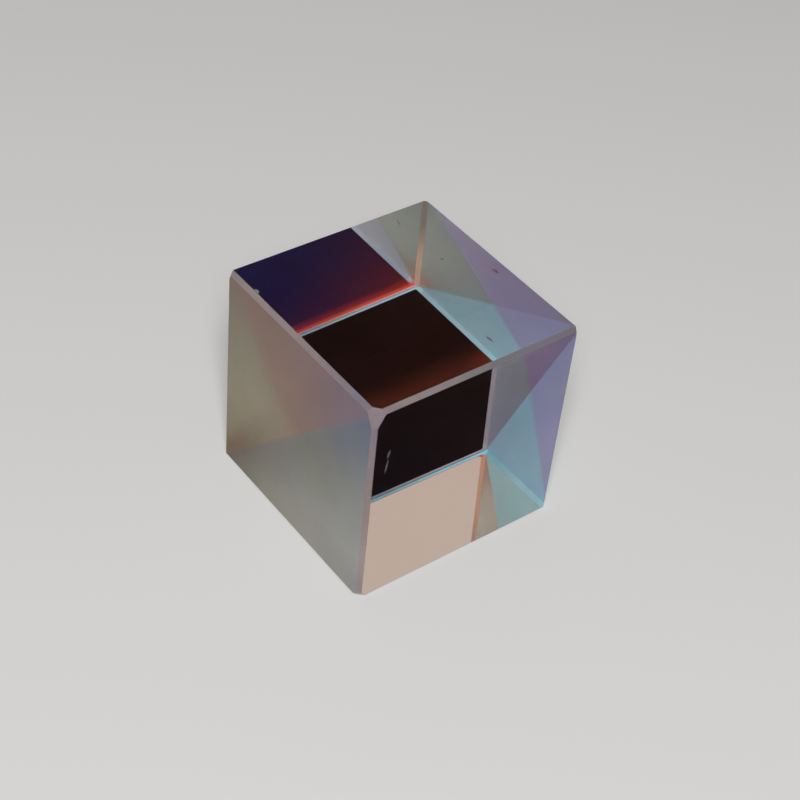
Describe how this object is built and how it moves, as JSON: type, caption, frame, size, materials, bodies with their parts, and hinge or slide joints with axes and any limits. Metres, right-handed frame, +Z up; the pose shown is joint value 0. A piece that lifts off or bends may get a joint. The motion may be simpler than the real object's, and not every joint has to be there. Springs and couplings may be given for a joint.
{
  "type": "dichroic combiner prism",
  "caption": "Glass block of right-angle prisms cemented around crossed colour-reflecting films, which merges coloured beams into one. Polished sides, ground ends, edges and corners.",
  "frame": {"origin": "middle of the bottom face, which the block rests on", "axes": "+Z up; X along the line where the prisms meet, square to the ground ends; -Y out of the output face"},
  "size_m": [0.0198, 0.02, 0.02],
  "materials": {
    "prism_glass": "clear crown glass, optically polished on the four light faces, fine ground on the ends, bevels and corner cuts",
    "red_reflecting_coating": "dielectric film that reflects red and passes the rest",
    "blue_reflecting_coating": "dielectric film that reflects blue and passes the rest",
    "optical_cement": "clear cured cement, matched to the glass"
  },
  "bodies": {
    "root": {"output_prism": "prism_glass", "green_input_prism": "prism_glass", "red_input_prism": "prism_glass", "blue_input_prism": "prism_glass", "red_reflecting_film": "red_reflecting_coating", "blue_reflecting_film_upper": "blue_reflecting_coating", "blue_reflecting_film_lower": "blue_reflecting_coating", "main_cement_layer": "optical_cement", "upper_cement_layer": "optical_cement", "lower_cement_layer": "optical_cement"}
  },
  "joints": []
}
